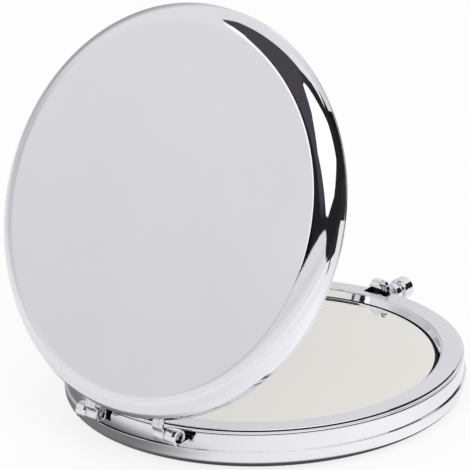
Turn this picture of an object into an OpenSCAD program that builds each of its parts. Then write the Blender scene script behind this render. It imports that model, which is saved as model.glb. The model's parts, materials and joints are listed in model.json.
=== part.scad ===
// Round compact mirror: two pressed shells, each with a mirror behind a frame ring,
// joined by two rolled hinge barrels and held shut by a sprung hook with a knob.
// The origin is the centre of the base's underside, +Z is up, the hinge is at -Y
// and the latch is at +Y. Lid pieces are drawn shut and then turned open.

/* [Case] */
// Radius of the rims of the lid and the base
case_r = 35; // [33:0.5:40]
// Thickness of the pressed shells
shell_t = 0.5; // [0.4:0.05:0.6]
// Gap between the two rings when the case is shut
shut_gap = 0.1; // [0.05:0.05:0.2]
// How far the lid stands open at rest
open_angle = 66; // [0:1:100]

/* [Rounded edges] */
// Width of the lid's rounded edge, seen from above
lid_round_w = 3.45; // [2:0.05:4]
// Height of the lid's straight side, from its ring's face to the rounded edge
lid_side_h = 2; // [1.5:0.05:2.5]
// Width of the base's rounded lower edge, seen from above
base_round_w = 3.9; // [3:0.05:4.3]
// Height of the base's straight wall, from the ledge to the ring's flange
wall_h = 2.8; // [2.3:0.05:3.2]
// How far the ledge low on the base's wall stands out
ledge_w = 0.3; // [0.1:0.05:0.5]
// Height of the slope between the wall and the ledge
ledge_rise = 0.45; // [0.3:0.05:0.5]
// Height of the ledge's upright band above the rounded edge
ledge_band = 0.75; // [0.3:0.05:1]

/* [Rings] */
// Height of the flange that caps the shell's rim
flange_h = 0.8; // [0.7:0.05:0.8]
// Radius of the rounding on the rim of the flat face
rim_round = 0.6; // [0.3:0.05:0.65]
// Width of the ring's flat face, from the rim to the step
ring_face_w = 3.8; // [3.6:0.05:4.5]
// Width of the small step inside the flat face
step_w = 0.3; // [0.2:0.05:0.4]
// Depth of the small step
step_depth = 0.2; // [0.1:0.05:0.3]
// Width of the bevel between the step and the opening
bevel_w = 0.4; // [0.3:0.05:0.6]
// Depth of the opening's edge below the flat face
bevel_depth = 1.3; // [1.2:0.05:1.4]
// Height of the blunt edge at the foot of the bevel
lip_edge = 0.1; // [0.05:0.05:0.15]
// Width of the lip's underside
lip_seat = 0.55; // [0.4:0.05:0.6]
// Thickness of the ring's sheet
ring_t = 0.5; // [0.4:0.05:0.6]
// How far the ring's skirt reaches down inside the shell
skirt_h = 0.85; // [0.5:0.05:0.9]
// Gap between the skirt and the shell's wall
skirt_gap = 0.05; // [0.02:0.01:0.1]

/* [Mirrors and pads] */
// Depth of the glass below the face of its ring
glass_depth = 1.3; // [1.2:0.05:1.5]
// Gap between the glass and the edge of the ring's opening
glass_gap = 0.65; // [0.3:0.05:0.8]
// Thickness of the mirror glasses
glass_t = 1; // [0.8:0.1:1.2]
// Width of the ground edge around each glass
glass_bevel = 0.1; // [0.05:0.05:0.3]
// Thickness of the pad under the base's glass
base_pad_t = 4.75; // [4.4:0.05:6]
// Thickness of the pad behind the lid's glass
lid_pad_t = 2; // [1.7:0.05:3]
// Gap between a pad and the rounded edge of its shell
pad_gap = 0.35; // [0.2:0.05:0.5]

/* [Hinge] */
// Distance of the pin line outside the rim
hinge_out = 1.35; // [1.3:0.05:1.6]
// Depth of the pin line below the face of the base's ring
hinge_drop = 0.85; // [0.8:0.05:0.95]
// Outer radius of the rolled knuckles
knuckle_r = 1.45; // [1.35:0.05:1.5]
// Thickness of the leaves' sheet
leaf_t = 0.45; // [0.35:0.05:0.5]
// Distance of each barrel's inner end from the middle
barrel_in = 6.3; // [5:0.1:6.5]
// Length of one knuckle
knuckle_l = 2.25; // [2:0.05:3.2]
// End gap between the two knuckles of a barrel
knuckle_gap = 0.1; // [0.05:0.05:0.2]
// Radial clearance of the pin in the knuckles
pin_gap = 0.05; // [0.02:0.01:0.1]
// How far the pin's outer end lies inside its barrel
pin_recess = 0.45; // [0.2:0.05:1]
// Slit between the end of a roll and its leaf
roll_slit = 0.15; // [0.1:0.05:0.2]
// Width of a shell's notch beyond each end of its barrel
notch_side_gap = 0.4; // [0.3:0.05:0.8]
// Gap between the base's leaf and the floor of its notch
notch_floor_gap = 0.4; // [0.2:0.05:0.5]
// Radius that opens the notch's mouth
notch_mouth_r = 1.2; // [0.5:0.1:1.4]

/* [Latch] */
// Travel of the knob when it is pushed
latch_travel = 0.8; // [0.7:0.1:1.2]
// Depth of the knob's axis below the face of the base's ring
knob_drop = 1.6; // [1.55:0.05:1.8]
// Radius of the knob's head
head_r = 2.05; // [1.6:0.05:2.4]
// Length of the knob's head
head_l = 2.7; // [2:0.1:4]
// Radius of the rounding on the head's edges
head_round = 0.5; // [0.2:0.05:0.9]
// Radius of the collar behind the head
collar_r = 1.85; // [1.5:0.05:2.2]
// Length of the collar behind the head
collar_l = 1.3; // [0.8:0.1:2]
// Radius of the waist between collar and head
waist_r = 1.25; // [0.9:0.05:1.4]
// Length of the waist between collar and head
waist_l = 0.9; // [0.5:0.1:1.5]
// Length of bare stem between the rim and the collar at rest
stem_bare = 2; // [1.7:0.1:3]
// Radius of the knob's stem
stem_r = 0.7; // [0.5:0.05:0.75]
// Clearance around the stem in the shell's wall
stem_gap = 0.08; // [0.05:0.01:0.1]
// Distance of the hook's inner face inside the rim
hook_inset = 1.7; // [1.65:0.05:1.75]
// Thickness of the hook's sheet
hook_t = 0.5; // [0.4:0.05:0.5]
// Width of the hook where it leaves the ring
hook_foot_w = 5.1; // [4.6:0.1:5.2]
// Width of the hook's head
hook_head_w = 3.5; // [2.5:0.1:4]
// Width of the hook's tail behind the spring
hook_tail_w = 3; // [2.6:0.1:3.2]
// Height of the hook above the ring's face
hook_rise = 2.45; // [2.2:0.05:2.6]
// Radius of the rounding on the hook's head, seen from the front
hook_corner = 1.2; // [0.5:0.1:1.3]
// How far the hook's nose reaches over the lid's edge
nose_w = 0.5; // [0.3:0.05:0.55]
// Radius of the spring's coils at the middle of the wire
spring_r = 1.1; // [0.9:0.05:1.15]
// Thickness of the spring's wire
spring_wire = 0.3; // [0.2:0.05:0.3]
// Length of the spring at rest
spring_l = 4.2; // [3.8:0.1:5]
// Turns of the spring
spring_turns = 4; // [3:1:4]

/* [Hidden] */

// How far a cut runs past the face that it opens
over = 1;
// Sides of the large and the small round pieces
$fn = 180;
small_fn = 48;
// Steps of a rounded edge
round_steps = 12;
chrome = [0.84, 0.84, 0.86];
steel = [0.66, 0.66, 0.68];

// Rim of the shells and the ring's skirt inside it
wall_in_r = case_r - shell_t;
skirt_out_r = wall_in_r - skirt_gap;
skirt_in_r = skirt_out_r - ring_t;
step_r = case_r - ring_face_w;
bevel_r = step_r - step_w;
opening_r = bevel_r - bevel_w;
// Depths below a ring's face, used alike in the base and the lid
lip_depth = bevel_depth + lip_edge;
glass_back = glass_depth + glass_t;
glass_r = opening_r - glass_gap;
// Radii of the flat floors of the shells
base_flat_r = case_r + ledge_w - base_round_w;
lid_flat_r = case_r - lid_round_w;
// Heights of the base and the lid, each from its outer face to its ring's face
base_h = shell_t + base_pad_t + glass_back;
lid_h = shell_t + lid_pad_t + glass_back;
base_round_h = base_h - flange_h - wall_h - ledge_rise - ledge_band;
lid_round_h = lid_h - lid_side_h;
// Height of the shut lid ring's face
lid_z = base_h + shut_gap;
// Top of the ledge on the base's wall
ledge_top = base_round_h + ledge_band + ledge_rise;

// Pin line, bore of the knuckles and radius of the pins
hinge_y = case_r + hinge_out;
hinge_z = base_h - hinge_drop;
bore_r = knuckle_r - leaf_t;
pin_r = bore_r - pin_gap;
barrel_l = knuckle_l + knuckle_gap + knuckle_l;
barrel_mid = barrel_in + barrel_l / 2;
outer_knuckle = barrel_in + knuckle_l + knuckle_gap;
// Tabs of the leaves, welded along the inside of the walls
tab_gap = 0.05;
tab_out_r = wall_in_r - tab_gap;
tab_in_r = tab_out_r - leaf_t;
base_tab_l = 1.9;
lid_tab_l = 0.9;
// Clearance of the lid's leaf over the lid ring's flange
flange_gap = 0.08;
// Notches in the shells and gaps in the skirts for the leaves
notch_half_w = barrel_l / 2 + notch_side_gap;
notch_h = hinge_drop + knuckle_r + notch_floor_gap - flange_h;

// Knob's axis, hook and the slot that it moves in
knob_z = base_h - knob_drop;
hook_y = case_r - hook_inset;
hook_face_y = hook_y + hook_t;
slot_gap = 0.15;
slot_half_w = hook_foot_w / 2 + slot_gap;
slot_in_y = hook_y - latch_travel - slot_gap;
catch_gap = 0.1;
skirt_cut_gap = 0.3;
hook_shoulder_h = 1;
hook_lean = 0.3;
boss_r = 1;
boss_gap = 0.06;
rivet_r = 1;
rivet_h = 0.35;
rivet_gap = 0.02;
nib_l = 0.4;

// Spring under the glass, between the bracket's upright and the hook's tail
spring_glass_gap = 0.4;
spring_out_r = spring_r + spring_wire / 2;
spring_z = base_h - glass_back - spring_glass_gap - spring_out_r;
spring_from = hook_y - spring_l;
spring_sides = 6;
steps_per_turn = 12;
spring_steps = steps_per_turn * spring_turns;
peg_gap = 0.15;
peg_r = spring_r - spring_wire / 2 - peg_gap;
bracket_t = 0.5;
bracket_w = 4.6;
bracket_foot_l = 2.4;
pad_cut_gap = 0.4;

// Quarter of an ellipse from (0, h) to (w, 0), without its two ends
function round_edge(w, h) = [for (i = [1 : round_steps - 1])
    let (a = 90 * i / round_steps) [w * sin(a), h * cos(a)]];

function reversed(list) = [for (i = [len(list) - 1 : -1 : 0]) list[i]];

// Turns a shut lid piece about the pin line to where the open lid is
module opened() {
    translate([0, -hinge_y, hinge_z])
        rotate([open_angle, 0, 0])
            translate([0, hinge_y, -hinge_z]) children();
}

// Places what is drawn with its depth along +Z into the base, below its ring's face
module in_base() {
    translate([0, 0, base_h]) mirror([0, 0, 1]) children();
}

// Places what is drawn with its depth along +Z into the shut lid, then opens it
module in_lid() {
    opened() translate([0, 0, lid_z]) children();
}

// Notch in a shell's wall for the leaves of one barrel, open at the rim, where a radius
// on each side widens its mouth
module hinge_notch(side) {
    translate([side * barrel_mid, -step_r, flange_h]) rotate([90, 0, 0])
        linear_extrude(case_r) difference() {
            translate([-notch_half_w - notch_mouth_r, -over])
                square([2 * (notch_half_w + notch_mouth_r), notch_h + over]);
            for (s = [-1, 1]) translate([s * (notch_half_w + notch_mouth_r), notch_mouth_r]) {
                circle(notch_mouth_r, $fn = small_fn);
                translate([-notch_mouth_r, 0]) square([2 * notch_mouth_r, notch_h]);
            }
        }
}

module base_shell() {
    outside = round_edge(base_round_w, base_round_h);
    inside = round_edge(wall_in_r - base_flat_r, base_round_h - shell_t);
    color(chrome) difference() {
        rotate_extrude() polygon(concat(
            [[0, 0], [base_flat_r, 0]],
            [for (p = outside) [base_flat_r + p[0], base_round_h - p[1]]],
            [[case_r + ledge_w, base_round_h], [case_r + ledge_w, ledge_top - ledge_rise],
             [case_r, ledge_top], [case_r, base_h - flange_h],
             [wall_in_r, base_h - flange_h], [wall_in_r, base_round_h]],
            [for (p = reversed(inside)) [base_flat_r + p[0], base_round_h - p[1]]],
            [[base_flat_r, shell_t], [0, shell_t]]));
        in_base() for (side = [-1, 1]) hinge_notch(side);
        // Slot for the knob's stem, round below and open at the rim
        translate([0, skirt_in_r, knob_z]) rotate([-90, 0, 0])
            cylinder(r = stem_r + stem_gap, h = case_r, $fn = small_fn);
        translate([-stem_r - stem_gap, skirt_in_r, knob_z])
            cube([2 * (stem_r + stem_gap), case_r, base_h]);
    }
}

module lid_shell() {
    outside = round_edge(lid_round_w, lid_round_h);
    inside = round_edge(wall_in_r - lid_flat_r, lid_round_h - shell_t);
    color(chrome) in_lid() difference() {
        rotate_extrude() polygon(concat(
            [[0, lid_h], [lid_flat_r, lid_h]],
            [for (p = outside) [lid_flat_r + p[0], lid_side_h + p[1]]],
            [[case_r, lid_side_h], [case_r, flange_h], [wall_in_r, flange_h], [wall_in_r, lid_side_h]],
            [for (p = reversed(inside)) [lid_flat_r + p[0], lid_side_h + p[1]]],
            [[lid_flat_r, lid_h - shell_t], [0, lid_h - shell_t]]));
        for (side = [-1, 1]) hinge_notch(side);
    }
}

// Frame ring with its face at zero and its depth along +Z, the same pressing in the base
// and the lid: flange on the rim, skirt inside the wall, step and bevel down around the glass
module ring() {
    bevel_run = (lip_depth - ring_t) * bevel_w / bevel_depth;
    under_r = opening_r + lip_seat + bevel_run;
    rim = round_edge(rim_round, rim_round);
    difference() {
        rotate_extrude() polygon(concat(
            [[case_r - rim_round, 0]],
            [for (p = rim) [case_r - rim_round + p[0], rim_round - p[1]]],
            [[case_r, rim_round], [case_r, flange_h], [skirt_out_r, flange_h],
             [skirt_out_r, flange_h + skirt_h], [skirt_in_r, flange_h + skirt_h],
             [skirt_in_r, ring_t], [under_r, ring_t], [opening_r + lip_seat, lip_depth],
             [opening_r, lip_depth], [opening_r, bevel_depth], [bevel_r, step_depth],
             [step_r, step_depth], [step_r, 0]]));
        // Slot for the hook, and the recess in the flange and the skirt behind it
        translate([-slot_half_w, slot_in_y, -over])
            cube([2 * slot_half_w, hook_face_y + catch_gap - slot_in_y, flange_h + over]);
        translate([-slot_half_w - skirt_cut_gap, slot_in_y, ring_t])
            cube([2 * (slot_half_w + skirt_cut_gap), wall_in_r - slot_in_y, skirt_h + over]);
        // Gaps in the skirt for the hinge leaves
        for (side = [-1, 1])
            translate([side * barrel_mid - notch_half_w, -case_r, flange_h])
                cube([2 * notch_half_w, case_r - tab_in_r + ring_face_w, skirt_h + over]);
    }
}

module base_ring() {
    color(chrome) in_base() ring();
}

module lid_ring() {
    color(chrome) in_lid() ring();
}

// Mirror glass with ground edges, glued to its pad inside the ring's opening
module glass() {
    translate([0, 0, glass_depth]) rotate_extrude() polygon([
        [0, 0], [glass_r - glass_bevel, 0], [glass_r, glass_bevel],
        [glass_r, glass_t - glass_bevel], [glass_r - glass_bevel, glass_t], [0, glass_t]]);
}

module base_mirror() {
    color([0.88, 0.87, 0.85]) in_base() glass();
}

module lid_mirror() {
    color([0.88, 0.87, 0.85]) in_lid() glass();
}

// Pad between the base's floor and its glass, cut out around the bracket and the spring
module base_pad() {
    cut_w = bracket_w + 2 * pad_cut_gap;
    cut_y = spring_from - bracket_foot_l - pad_cut_gap;
    color([0.25, 0.25, 0.27]) difference() {
        translate([0, 0, shell_t]) cylinder(r = base_flat_r - pad_gap, h = base_pad_t);
        translate([-cut_w / 2, cut_y, 0]) cube([cut_w, case_r, base_h]);
    }
}

module lid_pad() {
    color([0.25, 0.25, 0.27]) in_lid() translate([0, 0, glass_back])
        cylinder(r = lid_flat_r - pad_gap, h = lid_pad_t);
}

// Rolled knuckle about the X axis, from x = 0. Its leaf leaves at the top when up is 1 and
// at the bottom when up is -1, with a slit where the roll's end meets the leaf.
module knuckle(up) {
    slit_y = bore_r / 2;
    rotate([90, 0, 90]) difference() {
        cylinder(r = knuckle_r, h = knuckle_l, $fn = small_fn);
        translate([0, 0, -over])
            cylinder(r = bore_r, h = knuckle_l + 2 * over, $fn = small_fn);
        translate([slit_y, up > 0 ? bore_r - roll_slit : -bore_r, -over])
            cube([knuckle_r, roll_slit, knuckle_l + 2 * over]);
    }
}

// Tab of a leaf, curved along the inside of the wall between two heights
module leaf_tab(from_x, from_z, to_z) {
    intersection() {
        translate([0, 0, from_z]) difference() {
            cylinder(r = tab_out_r, h = to_z - from_z);
            translate([0, 0, -over]) cylinder(r = tab_in_r, h = to_z - from_z + 2 * over);
        }
        translate([from_x, -case_r, from_z - over])
            cube([knuckle_l, case_r, to_z - from_z + 2 * over]);
    }
}

// Right base leaf: outer knuckle, flat strip through the notch, tab down the wall
module base_leaf() {
    strip_z = hinge_z - knuckle_r;
    translate([outer_knuckle, -hinge_y, hinge_z]) knuckle(-1);
    intersection() {
        translate([outer_knuckle, -hinge_y, strip_z]) cube([knuckle_l, hinge_y, leaf_t]);
        translate([0, 0, strip_z - over]) difference() {
            translate([0, -hinge_y, 0]) cube([case_r, hinge_y, leaf_t + 2 * over]);
            cylinder(r = tab_in_r, h = leaf_t + 2 * over);
        }
    }
    leaf_tab(outer_knuckle, strip_z - base_tab_l, strip_z + leaf_t);
}

module base_hinge_leaf_right() {
    color(chrome) base_leaf();
}

module base_hinge_leaf_left() {
    color(chrome) mirror([1, 0, 0]) base_leaf();
}

// Right lid leaf, shut: inner knuckle, strip stepped up over the lid ring's flange, tab up
// the wall
module lid_leaf() {
    strip_z = lid_z + flange_h + flange_gap;
    rise = strip_z - hinge_z;
    bend_y = hinge_out - leaf_t / 2;
    translate([barrel_in, -hinge_y, hinge_z]) knuckle(1);
    difference() {
        translate([barrel_in, -hinge_y, hinge_z]) rotate([90, 0, 90])
            linear_extrude(knuckle_l) polygon([
                [0, bore_r], [leaf_t, bore_r], [bend_y, rise], [hinge_y, rise],
                [hinge_y, rise + leaf_t], [bend_y - leaf_t / 2, rise + leaf_t],
                [leaf_t / 2, knuckle_r], [0, knuckle_r]]);
        translate([0, 0, hinge_z]) cylinder(r = tab_in_r, h = case_r);
    }
    leaf_tab(barrel_in, strip_z, strip_z + leaf_t + lid_tab_l);
}

module lid_hinge_leaf_right() {
    color(chrome) opened() lid_leaf();
}

module lid_hinge_leaf_left() {
    color(chrome) opened() mirror([1, 0, 0]) lid_leaf();
}

// Pin of the right barrel, with chamfered ends
module pin() {
    pin_l = barrel_l - pin_recess - knuckle_gap;
    chamfer = pin_r / 4;
    translate([barrel_in + knuckle_gap, -hinge_y, hinge_z]) rotate([90, 0, 90])
        rotate_extrude($fn = small_fn) polygon([
            [0, 0], [pin_r - chamfer, 0], [pin_r, chamfer], [pin_r, pin_l - chamfer],
            [pin_r - chamfer, pin_l], [0, pin_l]]);
}

module hinge_pin_right() {
    color(steel) pin();
}

module hinge_pin_left() {
    color(steel) mirror([1, 0, 0]) pin();
}

// Knob turned in one piece with its stem, riveted over behind the hook
module latch_knob() {
    collar_at = rivet_h + hook_inset + stem_bare;
    waist_at = collar_at + collar_l;
    head_at = waist_at + waist_l;
    head_end = head_at + head_l;
    shoulder_r = head_r - head_round;
    edge = round_edge(head_round, head_round);
    color(chrome) translate([0, hook_y - rivet_h, knob_z]) rotate([-90, 0, 0])
        rotate_extrude($fn = small_fn) polygon(concat(
            [[0, 0], [rivet_r, 0], [rivet_r, rivet_h], [stem_r, rivet_h], [stem_r, collar_at],
             [collar_r, collar_at], [collar_r, waist_at], [waist_r, waist_at],
             [waist_r, head_at], [shoulder_r, head_at]],
            [for (p = edge) [shoulder_r + p[0], head_at + head_round - p[1]]],
            [[head_r, head_at + head_round], [head_r, head_end - head_round]],
            [for (p = reversed(edge)) [shoulder_r + p[0], head_end - head_round + p[1]]],
            [[shoulder_r, head_end], [0, head_end]]));
}

// Hook: its side profile, with a shoulder and a round-topped nose, crossed with its front
// outline. A boss around the stem stops it at the wall and a nib holds the spring.
module latch_hook() {
    nose_z = lid_z + ring_t + catch_gap;
    nose_r = (hook_t + nose_w - hook_lean) / 2;
    top_z = base_h + hook_rise;
    bottom_z = spring_z - spring_out_r;
    tail_top = knob_z - boss_r;
    shoulder_z = base_h + hook_shoulder_h;
    foot = hook_foot_w / 2;
    head = hook_head_w / 2;
    tail = hook_tail_w / 2;
    corner = round_edge(hook_corner, hook_corner);
    corner_x = head - hook_corner;
    corner_z = top_z - hook_corner;
    color(chrome) difference() {
        union() {
            intersection() {
                translate([-foot, 0, 0]) rotate([90, 0, 90]) linear_extrude(hook_foot_w) {
                    polygon([
                        [hook_y, bottom_z], [hook_face_y, bottom_z], [hook_face_y, nose_z],
                        [hook_face_y + nose_w, nose_z], [hook_face_y + nose_w, top_z - nose_r],
                        [hook_y + hook_lean, top_z - nose_r],
                        [hook_y + hook_lean, shoulder_z + hook_lean], [hook_y, shoulder_z]]);
                    translate([hook_y + hook_lean + nose_r, top_z - nose_r])
                        circle(nose_r, $fn = small_fn);
                }
                translate([0, case_r, 0]) rotate([90, 0, 0]) linear_extrude(case_r) polygon(concat(
                    [[-tail, bottom_z], [tail, bottom_z], [tail, tail_top], [foot, tail_top],
                     [foot, base_h], [head, shoulder_z], [head, corner_z]],
                    [for (p = reversed(corner)) [corner_x + p[0], corner_z + p[1]]],
                    [[corner_x, top_z], [-corner_x, top_z]],
                    [for (p = corner) [-corner_x - p[0], corner_z + p[1]]],
                    [[-head, corner_z], [-head, shoulder_z], [-foot, base_h],
                     [-foot, tail_top], [-tail, tail_top]]));
            }
            translate([0, hook_y, knob_z]) rotate([-90, 0, 0])
                cylinder(r = boss_r, h = wall_in_r - boss_gap - hook_y, $fn = small_fn);
            translate([0, hook_y - nib_l, spring_z]) rotate([-90, 0, 0])
                cylinder(r = peg_r, h = nib_l + hook_t, $fn = small_fn);
        }
        translate([0, hook_y - over, knob_z]) rotate([-90, 0, 0])
            cylinder(r = stem_r + rivet_gap, h = case_r, $fn = small_fn);
    }
}

// Middle of the spring's wire at one step along its helix
function coil_point(i) = let (
        turn = 360 * i / steps_per_turn,
        along = spring_wire / 2 + (spring_l - spring_wire) * i / spring_steps)
    [spring_r * cos(turn), spring_from + along, spring_z + spring_r * sin(turn)];

// Least gap between one turn of the spring and the next
coil_gap = min([for (i = [0 : spring_steps]) for (j = [i + steps_per_turn / 2 : spring_steps])
    norm(coil_point(i) - coil_point(j))]) - spring_wire;

// Open coil, one unbroken tube
module latch_spring() {
    points = [for (i = [0 : spring_steps]) let (c = coil_point(i), turn = 360 * i / steps_per_turn)
        for (k = [0 : spring_sides - 1]) let (a = 360 * k / spring_sides)
        c + spring_wire / 2 * [cos(a) * cos(turn), sin(a), cos(a) * sin(turn)]];
    last = spring_steps * spring_sides;
    sides = [for (i = [0 : spring_steps - 1]) for (k = [0 : spring_sides - 1])
        let (a = i * spring_sides + k, b = i * spring_sides + (k + 1) % spring_sides)
        each [[a, b, b + spring_sides], [a, b + spring_sides, a + spring_sides]]];
    ends = [for (k = [1 : spring_sides - 2]) each
        [[0, k + 1, k], [last, last + k, last + k + 1]]];
    echo(coil_gap = coil_gap);
    color(steel) polyhedron(points, concat(sides, ends));
}

// Angle on the base's floor, its upright with a peg for the spring
module latch_bracket() {
    color(steel) {
        translate([-bracket_w / 2, spring_from - bracket_foot_l, shell_t])
            cube([bracket_w, bracket_foot_l, bracket_t]);
        translate([-bracket_w / 2, spring_from - bracket_t, shell_t])
            cube([bracket_w, bracket_t, spring_z + spring_out_r - shell_t]);
        translate([0, spring_from - bracket_t, spring_z]) rotate([-90, 0, 0])
            cylinder(r = peg_r, h = bracket_t + nib_l, $fn = small_fn);
    }
}

base_shell();
base_ring();
base_mirror();
base_pad();
base_hinge_leaf_left();
base_hinge_leaf_right();
hinge_pin_left();
hinge_pin_right();
lid_shell();
lid_ring();
lid_mirror();
lid_pad();
lid_hinge_leaf_left();
lid_hinge_leaf_right();
latch_knob();
latch_hook();
latch_spring();
latch_bracket();
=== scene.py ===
"""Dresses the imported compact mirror: polished chrome case, mirrors, hinge barrels and latch, in metres."""

import json
import math

import bmesh
import bpy
from mathutils import Matrix, Vector

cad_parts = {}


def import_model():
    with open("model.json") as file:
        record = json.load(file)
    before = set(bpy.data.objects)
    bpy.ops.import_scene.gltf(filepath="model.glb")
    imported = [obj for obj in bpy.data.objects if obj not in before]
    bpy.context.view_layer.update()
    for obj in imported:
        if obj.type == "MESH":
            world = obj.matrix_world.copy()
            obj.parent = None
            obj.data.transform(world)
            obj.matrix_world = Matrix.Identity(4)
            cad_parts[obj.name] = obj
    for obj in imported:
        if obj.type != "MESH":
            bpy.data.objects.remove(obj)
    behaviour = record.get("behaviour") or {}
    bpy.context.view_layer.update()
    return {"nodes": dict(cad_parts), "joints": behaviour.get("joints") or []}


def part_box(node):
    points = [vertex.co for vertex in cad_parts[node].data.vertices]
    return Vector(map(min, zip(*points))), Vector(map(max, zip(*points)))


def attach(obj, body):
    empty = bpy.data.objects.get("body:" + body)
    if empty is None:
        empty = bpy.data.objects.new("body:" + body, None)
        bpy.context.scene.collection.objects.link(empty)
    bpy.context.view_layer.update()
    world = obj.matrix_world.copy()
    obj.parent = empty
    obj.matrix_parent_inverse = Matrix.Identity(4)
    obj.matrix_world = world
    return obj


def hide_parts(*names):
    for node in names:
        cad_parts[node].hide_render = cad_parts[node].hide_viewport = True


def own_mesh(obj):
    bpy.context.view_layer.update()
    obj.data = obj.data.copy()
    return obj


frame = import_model()

MM = 0.001

# Sizes that the frame gives
joints = {joint["name"]: joint for joint in frame["joints"]}
PIN = Vector(joints["lid_hinge"]["pos_m"])
OPEN_ANGLE = -joints["lid_hinge"]["range_deg"][0]
TRAVEL = joints["latch_push"]["range_m"][1]
CASE_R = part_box("base_ring")[1].x
BASE_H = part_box("base_ring")[1].z
LEDGE_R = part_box("base_shell")[1].x
GLASS_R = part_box("base_mirror")[1].x
GLASS_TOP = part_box("base_mirror")[1].z
GLASS_T = GLASS_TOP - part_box("base_mirror")[0].z
SHELL_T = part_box("base_pad")[0].z
FLANGE_H = BASE_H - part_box("base_shell")[1].z
RING_H = BASE_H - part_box("base_ring")[0].z
KNUCKLE_R = PIN.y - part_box("base_hinge_leaf_right")[0].y
OUTER_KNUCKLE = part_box("base_hinge_leaf_right")[0].x
BARREL_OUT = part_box("base_hinge_leaf_right")[1].x
BARREL_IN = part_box("lid_hinge_leaf_right")[0].x
KNUCKLE_L = BARREL_OUT - OUTER_KNUCKLE
PIN_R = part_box("hinge_pin_right")[1].z - PIN.z
PIN_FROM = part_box("hinge_pin_right")[0].x
PIN_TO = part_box("hinge_pin_right")[1].x
KNOB_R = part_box("latch_knob")[1].x
KNOB_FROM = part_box("latch_knob")[0].y
KNOB_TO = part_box("latch_knob")[1].y
KNOB_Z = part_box("latch_knob")[1].z - KNOB_R
HOOK_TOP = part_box("latch_hook")[1].z
HOOK_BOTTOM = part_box("latch_hook")[0].z
HOOK_HALF_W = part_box("latch_hook")[1].x
BOSS_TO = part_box("latch_hook")[1].y
SPRING_FROM, SPRING_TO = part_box("latch_spring")[0].y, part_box("latch_spring")[1].y
SPRING_OUT_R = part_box("latch_spring")[1].x
SPRING_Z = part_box("latch_spring")[1].z - SPRING_OUT_R

# Shells. The shelf is the top of the ledge low on the base's wall.
SHUT_GAP = 0.1 * MM
LID_Z = BASE_H + SHUT_GAP
LID_PAD_T = 2 * MM
LID_H = SHELL_T + LID_PAD_T + BASE_H - GLASS_TOP + GLASS_T
LID_SIDE_H = 2 * MM
LID_ROUND_W = 3.75 * MM
BASE_ROUND_W = 3.9 * MM
LEDGE_BAND = 0.75 * MM
LEDGE_RISE = 0.45 * MM
WALL_H = 2.8 * MM
BASE_ROUND_H = BASE_H - FLANGE_H - WALL_H - LEDGE_RISE - LEDGE_BAND
WALL_IN_R = CASE_R - SHELL_T
RIM_INNER_ROUND = 0.1 * MM
SHELF_RISE = 0.33 * MM
SHELF_Z = BASE_ROUND_H + LEDGE_BAND + SHELF_RISE
SHELF_FALL = 0.05 * MM
SHELF_ROUND = 0.1 * MM
SHELF_CORNER = 0.06 * MM
SHELF_INSET = 0.02 * MM

# Rings: a flange on the shell's rim with a step and two grooves, a skirt in the wall and a bevel to the glass
RING_T = 0.5 * MM
RING_EDGE = 0.05 * MM
RING_FACE_W = 3.8 * MM
SKIRT_GAP = 0.05 * MM
RIM_STEP_W, RIM_STEP_H = 0.1 * MM, 0.14 * MM
RIM_GROOVE_H, RIM_GROOVE_DEPTH = 0.15 * MM, 0.2 * MM
RIM_LAND_W, RIM_LAND_H = 0.32 * MM, 0.1 * MM
RIM_ROUND = 0.13 * MM
SEAM_ROUND = 0.12 * MM
SEAM_H, BASE_SEAM_DEPTH, LID_SEAM_DEPTH = 0.1 * MM, 0.15 * MM, 0.02 * MM
STEP_W, STEP_DEPTH = 0.3 * MM, 0.2 * MM
BEVEL_W, BEVEL_DEPTH = 0.55 * MM, 1.3 * MM
LIP_EDGE, LIP_SEAT = 0.1 * MM, 0.55 * MM
LIP_ROUND = LIP_EDGE / 3
GROOVE_REACH = LIP_EDGE / 4

# Glass. The glow is the rim of its front where the ground edge shows through, and a face that leans more than
# the cosine allows isn't part of the front.
GLASS_BEVEL = 0.1 * MM
GLASS_GLOW = 0.27 * MM
FRONT_COSINE = 0.25

# Hinge
LEAF_T = 0.45 * MM
LEAF_GAP = 0.08 * MM
LEAF_EDGE = 0.05 * MM
LEAF_BEND = 0.25 * MM
ROLL_SLIT = 0.15 * MM
BORE_R = KNUCKLE_R - LEAF_T
LID_STRIP_Z = LID_Z + FLANGE_H + LEAF_GAP
BASE_STRIP_Z = PIN.z - KNUCKLE_R
TAB_OUT_R = WALL_IN_R - SKIRT_GAP
TAB_IN_R = TAB_OUT_R - LEAF_T
BASE_TAB_DROP = 1.9 * MM
LID_TAB_RISE = 0.9 * MM
PIN_TIP_R, PIN_TIP_L, PIN_TIP_ROUND = 0.5 * PIN_R, 0.7 * MM, 0.08 * MM
BARREL_MIDDLE = (BARREL_IN + BARREL_OUT) / 2
NOTCH_GAP = 0.4 * MM
NOTCH_HALF_W = (BARREL_OUT - BARREL_IN) / 2 + NOTCH_GAP
NOTCH_MOUTH_R = 1.2 * MM
NOTCH_CORNER = 0.25 * MM

# Knob, from its rivet on the hook to its head
RIVET_R, RIVET_H = 1 * MM, 0.35 * MM
STEM_R, STEM_GAP, STEM_FIT = 0.7 * MM, 0.08 * MM, 0.02 * MM
COLLAR_R, COLLAR_L = 1.85 * MM, 1.3 * MM
WAIST_R, WAIST_L = 1.25 * MM, 0.9 * MM
HEAD_L, HEAD_ROUND = 2.7 * MM, 0.5 * MM
KNOB_EDGE = 0.12 * MM

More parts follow.
